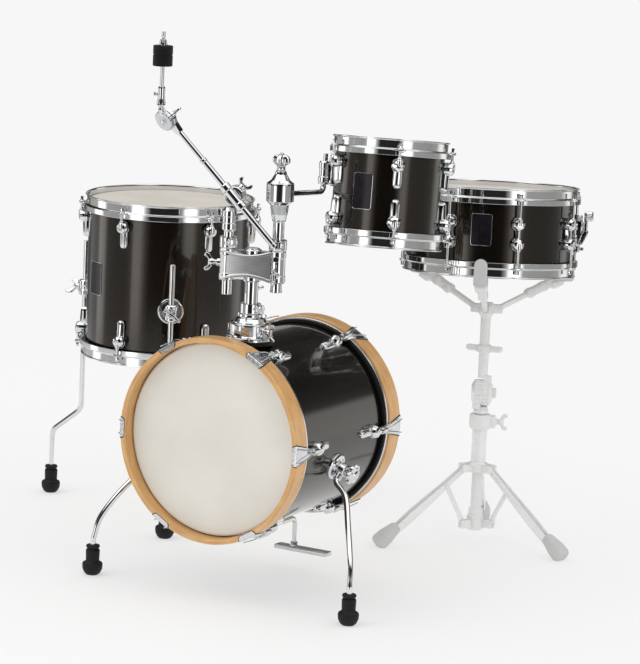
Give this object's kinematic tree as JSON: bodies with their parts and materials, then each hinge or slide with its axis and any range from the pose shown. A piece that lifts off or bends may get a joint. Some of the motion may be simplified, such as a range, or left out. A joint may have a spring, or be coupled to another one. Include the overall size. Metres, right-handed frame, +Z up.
{
  "type": "drum kit",
  "caption": "Compact drum kit: bass drum on spurs carrying a tom arm and a cymbal boom, floor tom on legs, and a snare drum on a folding tripod stand.",
  "frame": {"origin": "centre of the bounding box's bottom face, on the floor", "axes": "+Z up, -Y out of the bass drum's front head, -X towards the floor tom"},
  "size_m": [1.1442, 1.0115, 1.0553],
  "materials": {
    "lacquer": "dark gloss lacquer with a metallic base",
    "maple": "clear satin lacquer",
    "bass_film": "coated drum film",
    "coated_film": "coated drum film",
    "chrome": "polished",
    "rubber": "matte",
    "felt": "pressed felt",
    "steel_wire": "bare wire",
    "pale_steel": "pale satin"
  },
  "bodies": {
    "kit": {"bass_front_head": "bass_film", "bass_front_hoop": "maple", "bass_rear_head": "bass_film", "bass_rear_hoop": "maple", "bass_shell": "lacquer", "mount_base": "chrome", "riser_bracket": "chrome", "spur_bracket_left": "chrome", "spur_bracket_right": "chrome"},
    "boom": {"boom_rod": "chrome"},
    "boom_tilter": {"boom_tilter": "chrome"},
    "cymbal_tilter": {"cymbal_felts": "felt", "cymbal_tilter": "chrome"},
    "cymbal_tube": {"cymbal_tube": "chrome"},
    "cymbal_nut": {"cymbal_wing_nut": "chrome"},
    "floor_tom": {"floor_tom_bottom_head": "coated_film", "floor_tom_bottom_hoop": "chrome", "floor_tom_shell": "lacquer", "floor_tom_top_head": "coated_film", "floor_tom_top_hoop": "chrome"},
    "floor_tom_legs": {"floor_tom_leg_1": "chrome", "floor_tom_leg_2": "chrome", "floor_tom_leg_3": "chrome"},
    "post": {"mount_post": "chrome"},
    "clamp": {"multi_clamp": "chrome"},
    "riser": {"riser": "chrome"},
    "snare": {"snare_bottom_head": "coated_film", "snare_bottom_hoop": "chrome", "snare_shell": "lacquer", "snare_top_head": "coated_film", "snare_top_hoop": "chrome", "snare_wires": "steel_wire"},
    "snare_lever": {"snare_lever": "chrome"},
    "spur_left": {"spur_foot_left": "rubber", "spur_rod_left": "chrome"},
    "spur_right": {"spur_foot_right": "rubber", "spur_rod_right": "chrome"},
    "basket_arm_1": {"stand_arm_1": "pale_steel"},
    "basket_arm_2": {"stand_arm_2": "pale_steel"},
    "basket_arm_3": {"stand_arm_3": "pale_steel"},
    "basket": {"stand_basket_hub": "pale_steel"},
    "stand_hub": {"stand_hub": "pale_steel"},
    "stand_leg_1": {"stand_leg_1": "pale_steel"},
    "stand_leg_2": {"stand_leg_2": "pale_steel"},
    "stand_leg_3": {"stand_leg_3": "pale_steel"},
    "stand_strut_1": {"stand_strut_1": "pale_steel"},
    "stand_strut_2": {"stand_strut_2": "pale_steel"},
    "stand_strut_3": {"stand_strut_3": "pale_steel"},
    "stand": {"stand_tube": "pale_steel"},
    "stand_upper": {"stand_upper_tube": "pale_steel"},
    "tom_arm": {"tom_arm_tube": "chrome"},
    "arm_nut": {"tom_arm_wing_nut": "chrome"},
    "tom": {"tom_bottom_head": "coated_film", "tom_bottom_hoop": "chrome", "tom_bracket": "chrome", "tom_shell": "lacquer", "tom_top_head": "coated_film", "tom_top_hoop": "chrome"},
    "tom_tilt": {"tom_l_rod": "chrome"}
  },
  "joints": [
    {"name": "spur_left_fold", "type": "hinge", "parent": "kit", "child": "spur_left", "pos_m": [0.02309, -0.30815, 0.25849], "axis": [-0.9613, 0, -0.2756], "range_deg": [-115, 60]},
    {"name": "spur_right_fold", "type": "hinge", "parent": "kit", "child": "spur_right", "pos_m": [0.36491, -0.30815, 0.25849], "axis": [-0.9613, 0, 0.2756], "range_deg": [-115, 60]},
    {"name": "riser_reach", "type": "slide", "parent": "kit", "child": "riser", "axis": [0, 1, 0], "range_m": [-0.04, 0.02]},
    {"name": "post_height", "type": "slide", "parent": "kit", "child": "post", "axis": [0, 0, 1], "range_m": [0, 0.04]},
    {"name": "clamp_turn", "type": "hinge", "parent": "post", "child": "clamp", "pos_m": [0.212, -0.38365, 0.5953], "axis": [0, 0, 1], "range_deg": [-15, 15]},
    {"name": "cymbal_tube_turn", "type": "hinge", "parent": "clamp", "child": "cymbal_tube", "pos_m": [0.16935, -0.40088, 0.5953], "axis": [0, 0, 1], "range_deg": [-30, 0]},
    {"name": "boom_tilt", "type": "hinge", "parent": "cymbal_tube", "child": "boom_tilter", "pos_m": [0.17862, -0.39714, 0.7523], "axis": [0.3746, -0.9272, 0], "range_deg": [-15, 15]},
    {"name": "boom_slide", "type": "slide", "parent": "boom_tilter", "child": "boom", "axis": [-0.6288, -0.254, 0.7349], "range_m": [-0.04, 0.08]},
    {"name": "cymbal_tilt", "type": "hinge", "parent": "boom", "child": "cymbal_tilter", "pos_m": [0.07049, -0.47342, 0.8865], "axis": [-0.1643, -0.8804, -0.4449], "range_deg": [-25, 25]},
    {"name": "cymbal_nut_turn", "type": "hinge", "parent": "cymbal_tilter", "child": "cymbal_nut", "pos_m": [0.06782, -0.48774, 0.94727], "axis": [0, 0, 1], "continuous": true},
    {"name": "tom_arm_turn", "type": "hinge", "parent": "clamp", "child": "tom_arm", "pos_m": [0.25465, -0.36642, 0.5953], "axis": [0, 0, 1], "range_deg": [-30, 30]},
    {"name": "arm_nut_turn", "type": "hinge", "parent": "tom_arm", "child": "arm_nut", "pos_m": [0.25465, -0.36642, 0.8043], "axis": [0, 0, 1], "continuous": true},
    {"name": "tom_ball_tilt", "type": "hinge", "parent": "tom_arm", "child": "tom_tilt", "pos_m": [0.25465, -0.36642, 0.7588], "axis": [1, 0, 0], "range_deg": [-10, 10]},
    {"name": "tom_height", "type": "slide", "parent": "tom_tilt", "child": "tom", "axis": [-0.0319, 0.1186, 0.9924], "range_m": [0, 0.025]},
    {"name": "floor_tom_place", "type": "slide", "parent": "kit", "child": "floor_tom_legs", "axis": [-1, 0, 0], "range_m": [0, 0.1]},
    {"name": "floor_tom_height", "type": "slide", "parent": "floor_tom_legs", "child": "floor_tom", "axis": [0, 0, 1], "range_m": [-0.04, 0.04]},
    {"name": "stand_place", "type": "slide", "parent": "kit", "child": "stand", "axis": [0, 1, 0], "range_m": [0, 0.1]},
    {"name": "stand_fold", "type": "slide", "parent": "stand", "child": "stand_hub", "axis": [0, 0, -1], "range_m": [0, 0.022]},
    {"name": "stand_leg_1_fold", "type": "hinge", "parent": "stand", "child": "stand_leg_1", "pos_m": [0.33066, 0.26873, 0.155], "axis": [0.8039, -0.5948, 0], "range_deg": [0, 27]},
    {"name": "stand_strut_1_fold", "type": "hinge", "parent": "stand_hub", "child": "stand_strut_1", "pos_m": [0.33773, 0.2635, 0.041], "axis": [-0.8039, 0.5948, 0], "range_deg": [0, 14]},
    {"name": "stand_leg_2_fold", "type": "hinge", "parent": "stand", "child": "stand_leg_2", "pos_m": [0.37831, 0.28945, 0.155], "axis": [0.1132, 0.9936, 0], "range_deg": [0, 27]},
    {"name": "stand_strut_2_fold", "type": "hinge", "parent": "stand_hub", "child": "stand_strut_2", "pos_m": [0.3793, 0.2982, 0.041], "axis": [-0.1132, -0.9936, 0], "range_deg": [0, 14]},
    {"name": "stand_leg_3_fold", "type": "hinge", "parent": "stand", "child": "stand_leg_3", "pos_m": [0.33654, 0.32036, 0.155], "axis": [-0.9171, -0.3987, 0], "range_deg": [0, 27]},
    {"name": "stand_strut_3_fold", "type": "hinge", "parent": "stand_hub", "child": "stand_strut_3", "pos_m": [0.32847, 0.31685, 0.041], "axis": [0.9171, 0.3987, 0], "range_deg": [0, 14]},
    {"name": "stand_height", "type": "slide", "parent": "stand", "child": "stand_upper", "axis": [0, 0, 1], "range_m": [0, 0.06]},
    {"name": "stand_tilt", "type": "hinge", "parent": "stand_upper", "child": "basket", "pos_m": [0.3485, 0.29285, 0.308], "axis": [0.8871, 0.4616, 0], "range_deg": [-10, 10]},
    {"name": "basket_arm_1_open", "type": "hinge", "parent": "basket", "child": "basket_arm_1", "pos_m": [0.35165, 0.28233, 0.4781], "axis": [0.9233, 0.384, 0.0066], "range_deg": [0, 20]},
    {"name": "basket_arm_2_open", "type": "hinge", "parent": "basket", "child": "basket_arm_2", "pos_m": [0.35708, 0.32346, 0.47546], "axis": [-0.7928, 0.6054, -0.07], "range_deg": [0, 20]},
    {"name": "basket_arm_3_open", "type": "hinge", "parent": "basket", "child": "basket_arm_3", "pos_m": [0.3187, 0.30749, 0.47519], "axis": [-0.1304, -0.9894, 0.0634], "range_deg": [0, 20]},
    {"name": "snare_lift", "type": "slide", "parent": "basket", "child": "snare", "axis": [-0.0357, 0.0686, 0.997], "range_m": [0, 0.06]},
    {"name": "snare_lever_throw", "type": "hinge", "parent": "snare", "child": "snare_lever", "pos_m": [0.5031, 0.38189, 0.6201], "axis": [-0.3744, 0.9241, -0.077], "range_deg": [0, 100]}
  ],
  "couplings": [
    {"joint": "stand_leg_1_fold", "follows": "stand_fold", "rad_per_m": 20.86},
    {"joint": "stand_strut_1_fold", "follows": "stand_fold", "rad_per_m": 10.39},
    {"joint": "stand_leg_2_fold", "follows": "stand_fold", "rad_per_m": 20.86},
    {"joint": "stand_strut_2_fold", "follows": "stand_fold", "rad_per_m": 10.39},
    {"joint": "stand_leg_3_fold", "follows": "stand_fold", "rad_per_m": 20.86},
    {"joint": "stand_strut_3_fold", "follows": "stand_fold", "rad_per_m": 10.39},
    {"joint": "basket_arm_2_open", "follows": "basket_arm_1_open", "ratio": 1},
    {"joint": "basket_arm_3_open", "follows": "basket_arm_1_open", "ratio": 1}
  ]
}
